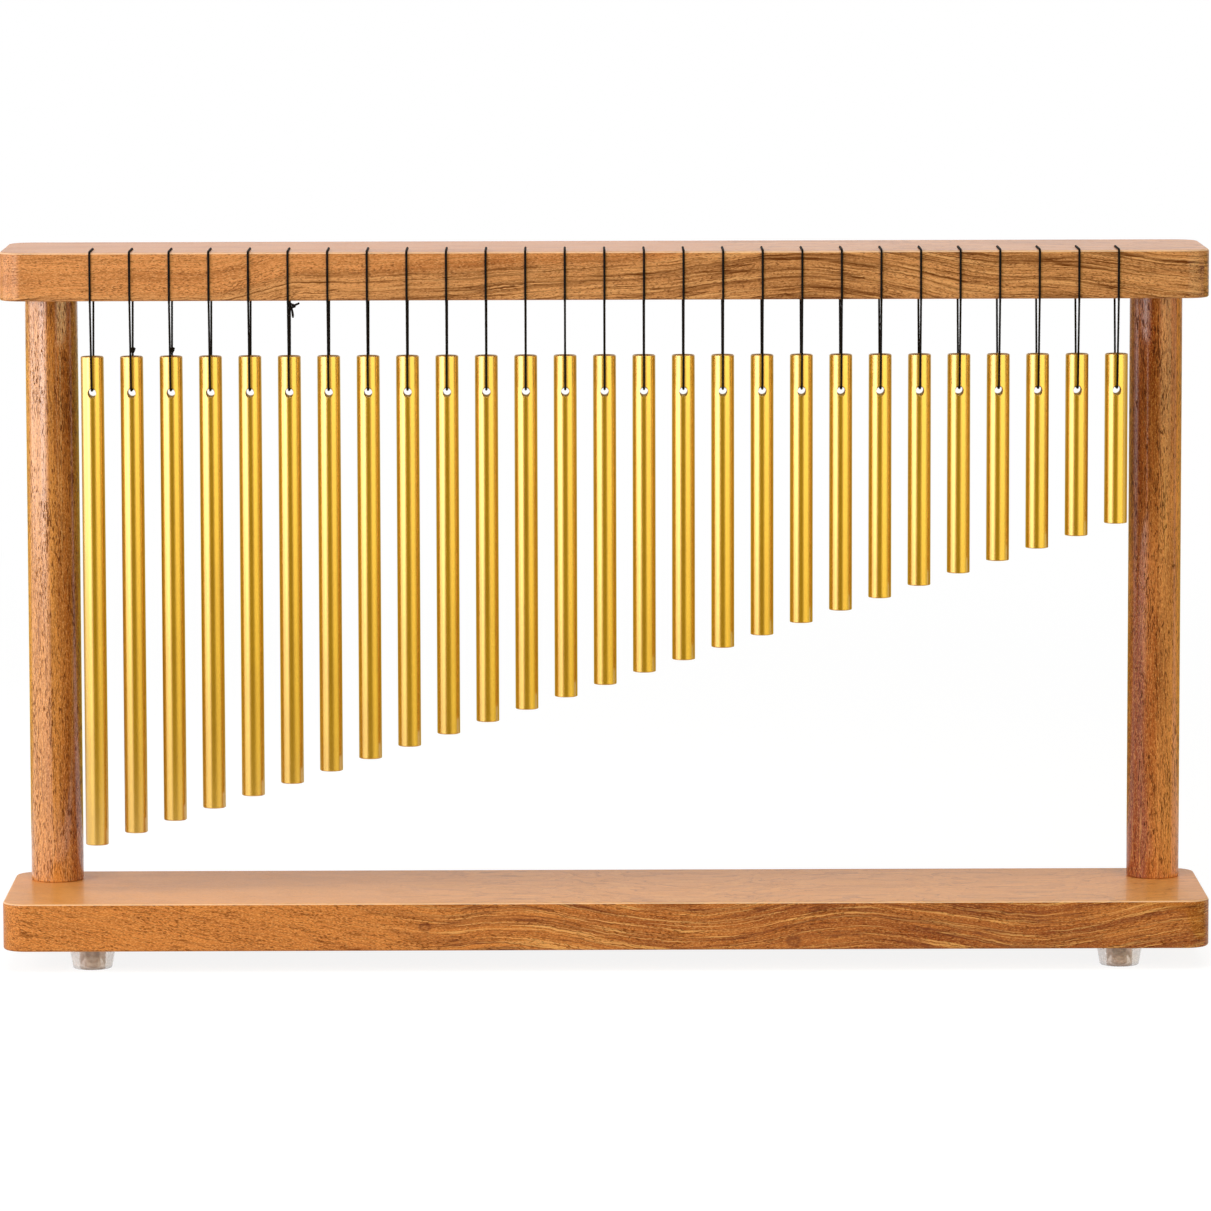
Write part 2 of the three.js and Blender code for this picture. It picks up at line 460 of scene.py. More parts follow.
def rounded_outline(half_x, half_y, radius):
    outline = []
    corners = ((1, 1, 0), (-1, 1, 90), (-1, -1, 180), (1, -1, 270))
    for sign_x, sign_y, first in corners:
        centre_x = sign_x * (half_x - radius)
        centre_y = sign_y * (half_y - radius)
        for i in range(BOARD_CORNER_STEPS + 1):
            angle = math.radians(first + 90 * i / BOARD_CORNER_STEPS)
            outline.append((centre_x + radius * math.cos(angle), centre_y + radius * math.sin(angle)))
    return outline


def board(name, depth, bottom, top):
    """A board with round corners and eased edges."""
    middle_y = BACK_Y - depth / 2
    edge = eased_edge(BOARD_EDGE, EDGE_STEPS)
    levels = [(inset, bottom + rise) for inset, rise in edge]
    levels += [(inset, top - rise) for inset, rise in reversed(edge)]
    points = []
    for inset, height in levels:
        outline = rounded_outline(BOARD_LENGTH / 2 - inset, depth / 2 - inset, BOARD_CORNER - inset)
        points.extend((x, middle_y + y, height) for x, y in outline)
    sides = len(outline)
    return make_mesh(name, points, caps(len(levels), sides) + skin(len(levels), sides))


def bar_x(index):
    return (index - (BAR_COUNT - 1) / 2) * BAR_PITCH


def stand_piece(obj, material, node):
    obj.data.materials.clear()
    obj.data.materials.append(material)
    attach(obj, STAND)
    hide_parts(node)


# Materials


class Nodes:
    """A node tree with short calls for what the looks are made of."""

    def __init__(self, tree):
        self.tree = tree
        tree.nodes.clear()

    def node(self, kind, **settings):
        made = self.tree.nodes.new(kind)
        for key, value in settings.items():
            setattr(made, key, value)
        return made

    def feed(self, target, value):
        """Links a socket to the target, or sets a plain value on it."""
        if isinstance(value, bpy.types.NodeSocket):
            self.tree.links.new(value, target)
        else:
            target.default_value = value

    def fill(self, made, *values):
        """Feeds the node's inputs in their order and gives its first output."""
        for i, value in enumerate(values):
            self.feed(made.inputs[i], value)
        return made.outputs[0]

    def calc(self, operation, *values, clamp=False):
        return self.fill(self.node("ShaderNodeMath", operation=operation, use_clamp=clamp), *values)

    def plus(self, first, *others):
        for other in others:
            first = self.calc("ADD", first, other)
        return first

    def times(self, first, *others):
        for other in others:
            first = self.calc("MULTIPLY", first, other)
        return first

    def minus(self, first, second):
        return self.calc("SUBTRACT", first, second)

    def without(self, mask, share=1.0):
        """1 where the mask is 0, and less by this share where it is 1."""
        return self.minus(1.0, self.times(mask, share))

    def split(self, vector):
        made = self.node("ShaderNodeSeparateXYZ")
        self.feed(made.inputs[0], vector)
        return tuple(made.outputs)

    def combine(self, x, y, z):
        return self.fill(self.node("ShaderNodeCombineXYZ"), x, y, z)

    def scaled(self, place, scales):
        return self.fill(self.node("ShaderNodeVectorMath", operation="MULTIPLY"), place, scales)

    def millimetres(self):
        """The place on the piece, in millimetres of the part's frame."""
        made = self.node("ShaderNodeVectorMath", operation="SCALE")
        self.feed(made.inputs[0], self.node("ShaderNodeTexCoord").outputs["Object"])
        made.inputs["Scale"].default_value = 1 / MM
        return made.outputs[0]

    def noise(self, place, detail=2.0, roughness=0.5):
        made = self.node("ShaderNodeTexNoise")
        self.feed(made.inputs["Vector"], place)
        made.inputs["Scale"].default_value = 1.0
        made.inputs["Detail"].default_value = detail
        made.inputs["Roughness"].default_value = roughness
        return made.outputs["Fac"]

    def spread(self, value, low, high, start=0.0, end=1.0):
        """Value from low..high mapped softly to start..end."""
        made = self.node("ShaderNodeMapRange", interpolation_type="SMOOTHSTEP")
        return self.fill(made, value, low, high, start, end)

    def mix(self, factor, first, second):
        made = self.node("ShaderNodeMix", data_type="RGBA")
        self.feed(made.inputs[0], factor)
        self.feed(made.inputs[6], first)
        self.feed(made.inputs[7], second)
        return made.outputs[2]

    def bump(self, height, distance, strength):
        made = self.node("ShaderNodeBump")
        made.inputs["Strength"].default_value = strength
        made.inputs["Distance"].default_value = distance * MM
        self.feed(made.inputs["Height"], height)
        return made.outputs["Normal"]

    def emission(self, strength, tint=(1.0, 1.0, 1.0)):
        return self.fill(self.node("ShaderNodeEmission"), (*tint, 1), strength)

    def diffuse(self, grey):
        return self.fill(self.node("ShaderNodeBsdfDiffuse"), (grey, grey, grey, 1))

    def mix_shader(self, factor, first, second):
        return self.fill(self.node("ShaderNodeMixShader"), factor, first, second)

    def seen_directly(self):
        """1 for rays that look at the background: from the camera, a mirror or glass."""
        path = self.node("ShaderNodeLightPath")
        seen = self.calc("MAXIMUM", path.outputs["Is Camera Ray"], path.outputs["Is Glossy Ray"])
        return self.calc("MAXIMUM", seen, path.outputs["Is Transmission Ray"])


class Surface(Nodes):
    """A material made of nodes."""

    def __init__(self, name):
        self.material = bpy.data.materials.new(name)
        self.material.use_nodes = True
        super().__init__(self.material.node_tree)
        self.output = self.node("ShaderNodeOutputMaterial")

    def show(self, closure):
        self.feed(self.output.inputs["Surface"], closure)
        return self.material

    def principled(self, **values):
        """The material of a principled shader, its inputs named with _ for each space."""
        shader = self.node("ShaderNodeBsdfPrincipled")
        for key, value in values.items():
            self.feed(shader.inputs[key.replace("_", " ")], value)
        return self.show(shader.outputs["BSDF"])


def colour(red, green, blue):
    """A linear colour from 0 to 255 display values."""
    linear = []
    for part in (red, green, blue):
        c = part / 255
        linear.append(c / 12.92 if c <= 0.04045 else ((c + 0.055) / 1.055) ** 2.4)
    return (*linear, 1.0)


def palette(**kinds):
    return {kind: colour(*display) for kind, display in kinds.items()}


# Wood: each figure gives how far the grain rises at a place, and 1 where it is strongly veined


def beam_figure(s, x, y, z):
    """The grain climbs from the left end, is highest right of the middle and falls again."""
    rise = s.plus(*(s.spread(x, low, high, 0.0, climb) for low, high, climb in BEAM_RISES))
    under = s.spread(s.minus(z, rise), *BEAM_VEINED_UP_TO, 1.0, 0.0)
    return rise, s.calc("MAXIMUM", under, s.spread(x, *BEAM_VEINED_FROM_X))


def base_figure(s, x, y, z):
    """The grain slants down from the left end, then swings in long waves."""
    turn = s.times(s.minus(x, BASE_WAVE_TOP_X), BASE_WAVE_PER_MM)
    waves = s.times(s.calc("COSINE", turn), BASE_WAVE_HEIGHT)
    zone = s.spread(x, *BASE_WAVES_FROM_X)
    slant = s.times(s.calc("MINIMUM", s.minus(x, BASE_SLANT_END_X), 0.0), BASE_SLANT)
    return s.plus(s.times(waves, zone), slant), zone


def post_figure(s, x, y, z):
    slow_z = s.times(z, POST_FIGURE_PER_MM)
    lean = s.times(s.calc("SINE", slow_z), POST_LEAN)
    cloud = s.noise(s.combine(x, y, slow_z), 1.0)
    return lean, s.spread(cloud, 0.5, 0.7)


def ring_knot(s, x, z, knot_x, knot_z, size):
    """1 in a small knot, with a paler middle."""
    dx = s.times(s.minus(x, knot_x), 0.75)
    dz = s.minus(z, knot_z)
    away = s.calc("SQRT", s.plus(s.times(dx, dx), s.times(dz, dz)))
    ring = s.spread(away, size * 0.2, size * 0.75, 0.35, 1.0)
    return s.times(ring, s.spread(away, size * 0.8, size * 1.3, 1.0, 0.0))


def wood(name, grain_axis, seed, tones, figure, lines, pore, painted_light_shift, lacquer, dashes=0.0, knots=()):
    """Oiled hardwood under thin satin lacquer.

    Bands, wandering dark veins, pale lines, fibres and open pores all follow the figure of the grain.
    The tone gains along X by a painted light and shade, lighter towards the lit side and darker towards
    the shaded side: start, end, gain at the start and gain at the end.
    """
    s = Surface(name)
    x, y, z = s.split(s.millimetres())
    rise, zone = figure(s, x, y, z)
    along, height = (x, z) if grain_axis == "X" else (z, x)
    along = s.plus(along, seed * SEED_ALONG)
    depth = s.plus(y, seed * SEED_DEPTH)

    def grain(scales, detail, roughness=0.5, across=height):
        """Noise stretched along the grain."""
        place = s.combine(s.times(along, scales[0]), s.times(across, scales[1]), s.times(depth, scales[2]))
        return s.noise(place, detail, roughness)

    def line(noise, level, core, edge):
        """1 on the line where the noise passes the level, and 0 beside it."""
        return s.spread(s.calc("ABSOLUTE", s.minus(noise, level)), core, edge, 1.0, 0.0)

    flow = s.plus(s.minus(height, rise), s.times(depth, DEPTH_DRIFT))
    for amount, scales in WANDERS:
        flow = s.plus(flow, s.times(s.minus(grain(scales, 1.0), 0.5), amount))

    bands = s.spread(grain(BAND_SCALE, 4.0, 0.6, flow), 0.34, 0.66)
    patches = s.spread(grain(PATCH_SCALE, 2.0), 0.32, 0.68)
    fibre = grain(FIBRE_SCALE, 4.0, 0.65, flow)
    speck = grain(SPECK_SCALE, 2.0, 0.6)

    first = grain(VEIN_SCALE, 2.0, 0.5, flow)
    second = grain(FINE_VEIN_SCALE, 2.0, 0.5, flow)
    broken = s.spread(grain(BREAK_SCALE, 2.0), 0.36, 0.60, 0.25, 1.0)
    veins = s.times(line(first, *VEIN_LINE), broken, zone)
    fine_veins = s.times(line(second, *FINE_VEIN_LINE), broken, zone)
    pale = s.times(line(second, *PALE_LINE), zone)
    beside = s.spread(s.minus(first, 0.5), 0.0, SHADE_WIDTH, 1.0, 0.0)
    shades = s.times(beside, s.spread(first, 0.49, 0.50), zone)

    pore_scales = (1 / pore["length"], 1 / pore["width"], 1 / pore["width"])
    crowd = s.times(s.minus(grain(CROWD_SCALE, 2.0, 0.5, flow), 0.5), 0.25)
    pore_noise = s.plus(grain(pore_scales, 2.0, 0.55, flow), crowd)
    pores = s.spread(pore_noise, pore["level"], pore["level"] + 0.03)
    if dashes:
        dash = s.spread(grain(DASH_SCALE, 1.0, 0.5, flow), 0.66, 0.72)
        pores = s.calc("MAXIMUM", pores, s.times(dash, s.without(zone, 0.5), dashes))

    wide = 0.0
    eased = 0.0
    if grain_axis == "X":
        facing = s.split(s.node("ShaderNodeTexCoord").outputs["Normal"])[2]
        # The wide faces, top and bottom, carry painted light: their tone is raised by a flat half step and
        # mixed towards the pale tone, and their figure is faint.
        wide = s.spread(s.calc("ABSOLUTE", facing), 0.5, 0.9)
        # A pale line is painted along the eased top edge: a painted highlight.
        eased = s.times(s.spread(facing, 0.3, 0.5), s.spread(facing, 0.8, 0.95, 1.0, 0.0))
    shown = s.without(wide, 0.7)

    tone = s.plus(s.times(bands, 0.6), s.times(patches, 0.4))
    # Painted light and shade: the narrow faces grow lighter towards one side along X and darker towards
    # the other
    painted_light_tone = s.plus(s.times(s.spread(x, *painted_light_shift), s.without(wide)), s.times(wide, 0.5))
    tone = s.calc("ADD", tone, painted_light_tone, clamp=True)

    def stain(base, mask, strength, kind):
        return s.mix(s.times(mask, strength, shown), base, tones[kind])

    base = s.mix(tone, tones["dark"], tones["light"])
    base = stain(base, zone, lines["zone"], "pale")
    # Painted light: the wide faces are mixed towards the pale tone
    base = s.mix(s.times(wide, lines["wide"]), base, tones["pale"])
    base = stain(base, s.spread(fibre, 0.34, 0.60, 1.0, 0.0), FIBRE_STAIN, "vein")
    base = stain(base, s.spread(speck, 0.50, 0.66), PALE_SPECK, "pale")
    base = stain(base, s.spread(speck, 0.34, 0.50, 1.0, 0.0), DARK_SPECK, "vein")
    base = stain(base, pale, lines["pale"], "pale")
    base = stain(base, shades, lines["veins"] * SHADE_SHARE, "vein")
    base = stain(base, fine_veins, lines["fine"], "vein")
    base = stain(base, veins, lines["veins"], "vein")
    for knot in knots:
        base = stain(base, ring_knot(s, x, z, *knot), KNOT_STAIN, "vein")
    base = stain(base, pores, pore["strength"], "pore")
    # Painted highlight along the eased top edge
    base = s.mix(s.times(eased, EDGE_HIGHLIGHT_PAINT), base, EDGE_HIGHLIGHT_TONE)

    relief = s.plus(s.times(fibre, FIBRE_RELIEF), s.times(pores, PORE_RELIEF), s.times(veins, VEIN_RELIEF))
    thinner = s.without(wide, 1 - lacquer["wide"])
    return s.principled(
        Base_Color=base,
        Roughness=s.plus(s.times(fibre, 0.2), 0.34),
        Normal=s.bump(relief, 0.06, 0.45),
        Coat_Weight=s.times(s.without(pores, 0.95), thinner, lacquer["weight"]),
        Coat_Roughness=lacquer["roughness"],
        Coat_IOR=lacquer["index"],
        IOR=1.5,
        Specular_IOR_Level=0.08,
    )


# Colour of the painted highlight along the eased top edges
EDGE_HIGHLIGHT_TONE = colour(246, 214, 176)
BEAM_TONES = palette(
    light=(217, 144, 84), dark=(160, 90, 42), pale=(230, 172, 112), vein=(100, 50, 14), pore=(84, 36, 8)
)
BASE_TONES = palette(
    light=(214, 132, 58), dark=(162, 82, 20), pale=(236, 174, 98), vein=(104, 44, 6), pore=(88, 34, 4)
)
LEFT_TONES = palette(
    light=(222, 146, 70), dark=(168, 88, 26), pale=(242, 182, 112), vein=(108, 50, 10), pore=(84, 36, 10)
)
RIGHT_TONES = palette(
    light=(242, 156, 86), dark=(152, 72, 26), pale=(236, 170, 96), vein=(104, 44, 8), pore=(66, 24, 2)
)
POST_LINES = {"veins": 0.4, "fine": 0.35, "pale": 0.45, "zone": 0.0, "wide": 0.0}

beam_wood = wood(
    "beam_wood",
    grain_axis="X",
    seed=1.0,
    tones=BEAM_TONES,
    figure=beam_figure,
    lines={"veins": 1.0, "fine": 0.85, "pale": 0.62, "zone": 0.36, "wide": 0.0},
    pore={"length": 1.6, "width": 0.42, "level": 0.59, "strength": 0.62},
    # Painted light at the left end of the front faces, painted shade towards the right end
    painted_light_shift=(-240, 240, 0.5, -0.2),
    lacquer={"weight": 0.35, "index": 1.5, "wide": 0.68, "roughness": 0.12},
)
base_wood = wood(
    "base_wood",
    grain_axis="X",
    seed=2.0,
    tones=BASE_TONES,
    figure=base_figure,
    # The wide share paints light on the wide faces
    lines={"veins": 0.75, "fine": 0.65, "pale": 0.85, "zone": 0.0, "wide": 0.45},
    pore={"length": 1.7, "width": 0.42, "level": 0.585, "strength": 0.66},
    # Painted light at the left end of the front faces, painted shade towards the right end
    painted_light_shift=(-240, 240, 0.5, -0.2),
    lacquer={"weight": 0.30, "index": 1.5, "wide": 0.55, "roughness": 0.06},
    dashes=0.8,
    knots=BASE_KNOTS,
)
left_wood = wood(
    "left_post_wood",
    grain_axis="Z",
    seed=3.0,
    tones=LEFT_TONES,
    figure=post_figure,
    lines=POST_LINES,
    pore={"length": 2.9, "width": 0.38, "level": 0.563, "strength": 0.8},
    # Painted light on the left side of the left post, painted shade on its right side
    painted_light_shift=(-POST_X - 3, -POST_X + 6, 0.5, -0.2),
    lacquer={"weight": 1.0, "index": 1.7, "wide": 1.0, "roughness": 0.15},
)
right_wood = wood(
    "right_post_wood",
    grain_axis="Z",
    seed=4.0,
    tones=RIGHT_TONES,
    figure=post_figure,
    lines=POST_LINES,
    pore={"length": 3.1, "width": 0.40, "level": 0.572, "strength": 0.8},
    # Painted shade on the left side of the right post, painted light on its right side
    painted_light_shift=(POST_X - 2, POST_X + 5, -0.5, 0.2),
    lacquer={"weight": 0.5, "index": 1.7, "wide": 1.0, "roughness": 0.15},
)


# Metal, cord and rubber


def gold(name, body, shadow, roughness, coat, marks):
    """Satin anodised aluminium with fine tool marks."""
    s = Surface(name)
    place = s.millimetres()
    lines = s.noise(s.scaled(place, marks), 3.0, 0.6)
    cloud = s.noise(s.scaled(place, (0.10, 0.10, 0.035)))
    fine = s.noise(s.scaled(place, (3.0, 3.0, 3.0)))
    tone = s.plus(s.times(lines, 0.5), s.times(cloud, 0.5))
    return s.principled(
        Base_Color=s.mix(s.spread(tone, 0.36, 0.64), shadow, body),
        Metallic=0.8,
        Roughness=s.plus(s.times(cloud, 0.06), roughness - 0.03),
        Normal=s.bump(s.plus(lines, s.times(fine, 0.4)), 0.003, 0.25),
        Coat_Weight=coat,
        Coat_Roughness=0.22,
        Coat_IOR=2.0,
        Specular_Tint=colour(226, 204, 120),
    )


def braid(name):
    """Black braided cord. The mesh carries (cos, sin, length) of each point in its braid attribute."""
    s = Surface(name)
    attribute = s.node("ShaderNodeAttribute", attribute_name="braid")
    cosine, sine, length = s.split(attribute.outputs["Vector"])
    turn = s.times(s.calc("ARCTAN2", sine, cosine), float(STRAND_WAVES))
    run = s.times(length, 2 * math.pi / STITCH)
    one = s.calc("SINE", s.plus(turn, run))
    other = s.calc("SINE", s.minus(turn, run))
    strands = s.calc("MAXIMUM", one, other)
    fuzz = s.noise(s.scaled(s.millimetres(), (7.0, 7.0, 7.0)), 3.0, 0.6)
    lit = s.spread(s.plus(strands, s.times(fuzz, 0.5)), 0.4, 1.4)
    return s.principled(
        Base_Color=s.mix(lit, colour(6, 3, 2), colour(26, 19, 17)),
        Roughness=s.minus(0.85, s.times(lit, 0.25)),
        Normal=s.bump(s.plus(strands, s.times(fuzz, 0.6)), 0.09, 0.8),
        Specular_IOR_Level=0.1,
    )


def clear_rubber(name):
    """Clear soft rubber, slightly clouded and pitted, and darker towards the bottom where it stands."""
    s = Surface(name)
    place = s.millimetres()
    cloud = s.noise(s.scaled(place, (0.5, 0.5, 0.7)), 3.0)
    pits = s.noise(s.scaled(place, (4.0, 4.0, 4.0)))
    darker_to_bottom = s.spread(s.split(place)[2], 0.3, 2.0, 0.9, 0.0)
    body = s.mix(s.spread(cloud, 0.35, 0.65), colour(206, 178, 160), colour(232, 208, 190))
    return s.principled(
        Base_Color=s.mix(darker_to_bottom, body, colour(120, 92, 76)),
        Roughness=s.plus(s.times(cloud, 0.08), 0.04),
        Transmission_Weight=0.5,
        IOR=1.45,
        Normal=s.bump(pits, 0.03, 0.3),
    )


def steel(name, light, dark, roughness):
    """Plated steel with fine turning marks and a little tarnish."""
    s = Surface(name)
    place = s.millimetres()
    marks = s.noise(s.scaled(place, (1.5, 1.5, 9.0)), 3.0, 0.6)
    tarnish = s.noise(s.scaled(place, (0.7, 0.7, 0.7)))
    tone = s.plus(s.times(marks, 0.5), s.times(tarnish, 0.5))
    return s.principled(
        Base_Color=s.mix(s.spread(tone, 0.38, 0.6), dark, light),
        Metallic=1.0,
        Roughness=s.plus(s.times(tarnish, 0.2), roughness),
        Normal=s.bump(marks, 0.02, 0.4),
    )


bar_gold = gold("anodised_gold", colour(208, 160, 6), colour(202, 153, 4), 0.26, 1.0, DRAWN_MARKS)
# Cut ends and hole wall: partly their turned finish, partly painted shade
cut_gold_painted_shade = gold("anodised_gold_cut_painted_shade", colour(168, 122, 44), colour(132, 90, 28), 0.5, 0.0, TURNED_MARKS)
cord_black = braid("braided_cord")
rubber = clear_rubber("clear_rubber")
washer_steel = steel("washer_steel", colour(190, 186, 180), colour(140, 134, 128), 0.25)
screw_steel = steel("screw_steel", colour(150, 146, 142), colour(96, 90, 86), 0.3)


# The stand


def mortises(low, high):
    radius = TENON_RADIUS + TENON_CLEARANCE
    return [cylinder(radius, low, high, MORTISE_SIDES, (side * POST_X, POST_Y, 0)) for side in (-1, 1)]


def make_base():
    obj = board("base_plank", BASE_DEPTH, BASE_BOTTOM, BASE_TOP)
    parts = mortises(BASE_TOP - TENON_LENGTH - TENON_END_CLEARANCE, BASE_TOP + PAST_FACE)
    pilot_radius = SCREW_RADIUS + PILOT_CLEARANCE
    pilot_top = BASE_BOTTOM + SCREW_IN_WOOD + PILOT_CLEARANCE
    for side_x in (-1, 1):
        for side_y in (-1, 1):
            centre = (side_x * FOOT_X, side_y * FOOT_Y, 0)
            parts.append(cylinder(pilot_radius, BASE_BOTTOM - PAST_FACE, pilot_top, SCREW_SIDES, centre))
    cut(obj, [joined("cutter", parts)])
    even_normals(obj)
    stand_piece(obj, base_wood, "base_board")


def make_beam():
    obj = board("beam_plank", BEAM_DEPTH, BEAM_BOTTOM, BEAM_TOP)
    parts = mortises(BEAM_BOTTOM - PAST_FACE, BEAM_BOTTOM + TENON_LENGTH + TENON_END_CLEARANCE)
    hole = flared_hole(CORD_HOLE_RADIUS, CORD_HOLE_FLARE, BEAM_BOTTOM, BEAM_TOP)
    for index in range(BAR_COUNT):
        parts.append(turned(hole, CORD_HOLE_SIDES, (bar_x(index), BACK_STRAND_Y, 0)))
    cut(obj, [joined("cutter", parts)])
    even_normals(obj)
    stand_piece(obj, beam_wood, "top_beam")


def make_post(name, side, material, node):
    end = [
        (0, -TENON_LENGTH),
        (TENON_RADIUS - TENON_CHAMFER, -TENON_LENGTH),
        (TENON_RADIUS, TENON_CHAMFER - TENON_LENGTH),
        (TENON_RADIUS, 0),
        (POST_RADIUS - POST_CHAMFER, 0),
        (POST_RADIUS, POST_CHAMFER),
    ]
    profile = [(radius, BASE_TOP + rise) for radius, rise in end]
    profile += [(radius, BEAM_BOTTOM - rise) for radius, rise in reversed(end)]
    post = turned_object(name, profile, POST_SIDES, (side * POST_X, POST_Y, 0))
    stand_piece(post, material, node)


def make_foot(side_x, side_y, name, node):
    """A foot with its washer and screw."""
    centre = (side_x * FOOT_X, side_y * FOOT_Y, 0)
    edge = eased_edge(FOOT_EDGE, EDGE_STEPS)
    profile = [(FOOT_BOTTOM_RADIUS - inset, rise) for inset, rise in edge]
    profile += [
        (FOOT_TOP_RADIUS - FOOT_RIM_EASE / 2, FOOT_HEIGHT - FOOT_RIM_HEIGHT),
        (FOOT_TOP_RADIUS, FOOT_HEIGHT - FOOT_RIM_HEIGHT / 2),
        (FOOT_TOP_RADIUS - FOOT_RIM_EASE, FOOT_HEIGHT),
        (SCREW_RADIUS + SCREW_CLEARANCE, FOOT_HEIGHT),
        (SCREW_RADIUS + SCREW_CLEARANCE, RECESS_DEPTH),
        (RECESS_RADIUS - RECESS_CHAMFER, RECESS_DEPTH),
        (RECESS_RADIUS, RECESS_DEPTH - RECESS_CHAMFER),
        (RECESS_RADIUS, RECESS_CHAMFER),
        (RECESS_RADIUS + RECESS_CHAMFER, 0),
    ]
    profile.reverse()
    foot = turned_object("foot_" + name, profile, FOOT_SIDES, centre)
    stand_piece(foot, rubber, node)
    make_washer(name, centre, node)
    make_screw(name, centre, node)


def make_washer(name, centre, node):
    low = RECESS_DEPTH - WASHER_THICKNESS
    high = RECESS_DEPTH
    profile = [
        (WASHER_HOLE_RADIUS, low + WASHER_EASE),
        (WASHER_HOLE_RADIUS + WASHER_EASE, low),
        (WASHER_RADIUS - WASHER_EASE, low),
        (WASHER_RADIUS, low + WASHER_EASE),
        (WASHER_RADIUS, high - WASHER_EASE),
        (WASHER_RADIUS - WASHER_EASE, high - SEAT_GAP),
        (WASHER_HOLE_RADIUS + WASHER_EASE, high - SEAT_GAP),
        (WASHER_HOLE_RADIUS, high - WASHER_EASE),
    ]
    washer = turned_object("washer_" + name, profile, WASHER_SIDES, centre)
    stand_piece(washer, washer_steel, node)


def screw_thread(centre, low, top):
    """Points and faces of a thread that climbs one pitch per turn and runs out to a point."""
    cx, cy, _ = centre
    points = []
    steps = int((top - low) / SCREW_PITCH * THREAD_RINGS_PER_TURN)
    for row in range(steps + 1):
        height = low + (top - low) * row / steps
        full = min(1.0, (top - height) / SCREW_TIP)
        core = THREAD_CORE_RADIUS * max(full, SCREW_POINT)
        for i in range(SCREW_SIDES):
            turn = i / SCREW_SIDES
            phase = (height / SCREW_PITCH - turn) % 1.0
            ridge = max(0.0, 1 - abs(phase - 0.5) * 4)
            radius = core + THREAD_DEPTH * full * ridge
            angle = 2 * math.pi * turn
            points.append((cx + radius * math.cos(angle), cy + radius * math.sin(angle), height))
    return points, skin(steps + 1, SCREW_SIDES) + caps(steps + 1, SCREW_SIDES)


def cross_slot(centre, half_x, half_y, low, high):
    """A cutter that narrows along X towards its top."""
    cx, cy, _ = centre
    points = []
    for z, share in ((low, 1.0), (high, CROSS_TAPER)):
        for sign_x, sign_y in ((-1, -1), (1, -1), (1, 1), (-1, 1)):
            points.append((cx + sign_x * half_x * share, cy + sign_y * half_y, z))
    return make_mesh("cutter", points, caps(2, 4) + skin(2, 4))


def make_screw(name, centre, node):
    """A pan-head wood screw with a cross in its head."""
    seat = RECESS_DEPTH - WASHER_THICKNESS
    head_bottom = seat - SCREW_HEAD_HEIGHT
    profile = [(0, head_bottom)]
    profile += [(SCREW_HEAD_RADIUS * share, head_bottom + rise) for share, rise in SCREW_DOME]
    profile += [
        (SCREW_HEAD_RADIUS, seat - SCREW_HEAD_EASE),
        (SCREW_HEAD_RADIUS - SCREW_HEAD_EASE, seat - SEAT_GAP),
        (SCREW_RADIUS - 2 * SCREW_HEAD_EASE, seat - SEAT_GAP),
        (SCREW_NECK_RADIUS, seat + SCREW_NECK_LENGTH),
        (0, seat + SCREW_NECK_LENGTH),
    ]
    head = turned(profile, SCREW_SIDES, centre)
    thread = screw_thread(centre, seat + THREAD_START, FOOT_HEIGHT + SCREW_IN_WOOD)
    screw = joined("screw_" + name, [head, thread])
    low = head_bottom - CROSS_PAST_HEAD
    high = head_bottom + CROSS_DEPTH
    along_x = cross_slot(centre, CROSS_HALF_LENGTH, CROSS_HALF_WIDTH, low, high)
    along_y = cross_slot(centre, CROSS_HALF_WIDTH, CROSS_HALF_LENGTH, low, high)
    cut(screw, [along_x, along_y])
    shade(screw, SCREW_SMOOTH_ANGLE)
    stand_piece(screw, screw_steel, node)


make_base()
make_beam()
make_post("post_left", -1, left_wood, "left_post")
make_post("post_right", 1, right_wood, "right_post")
make_foot(-1, -1, "front_left", "front_left_foot")
make_foot(1, -1, "front_right", "front_right_foot")
make_foot(-1, 1, "rear_left", "base_board")
make_foot(1, 1, "rear_right", "base_board")


# The bars


def bar_prototype():
    """A bar of the shortest length in the middle of the row, drilled across."""
    bottom = BAR_TOP - SHORTEST_BAR
    edge = eased_edge(BAR_EDGE, BAR_EDGE_STEPS)
    profile = [(0, bottom)]
    profile += [(BAR_RADIUS - inset, bottom + rise) for inset, rise in edge]
    profile += [(BAR_RADIUS, BAR_HOLE_Z - BAR_HOLE_BELT), (BAR_RADIUS, BAR_HOLE_Z + BAR_HOLE_BELT)]
    profile += [(BAR_RADIUS - inset, BAR_TOP - rise) for inset, rise in reversed(edge)]
    profile.append((0, BAR_TOP))
    bar = turned_object("bar_prototype", profile, BAR_SIDES, (0, BAR_Y, 0))
    hole = flared_hole(BAR_HOLE_RADIUS, BAR_HOLE_DEBURR, -BAR_RADIUS, BAR_RADIUS)
    cut(bar, [turned_object("cutter", hole, BAR_HOLE_SIDES, (0, BAR_Y, BAR_HOLE_Z), "Y")])
    bar.data.materials.clear()
    bar.data.materials.append(bar_gold)
    bar.data.materials.append(cut_gold_painted_shade)
    for polygon in bar.data.polygons:
        middle = polygon.center / MM
        away = math.hypot(middle.x, middle.y - BAR_Y)
        end = abs(polygon.normal.z) > CUT_LEVEL and away < BAR_RADIUS
        wall = away < BAR_RADIUS - CUT_WALL_DEPTH and abs(middle.z - BAR_HOLE_Z) < CUT_WALL_HEIGHT
        polygon.material_index = 1 if end or wall else 0
    even_normals(bar, BAR_SMOOTH_ANGLE)
    return bar


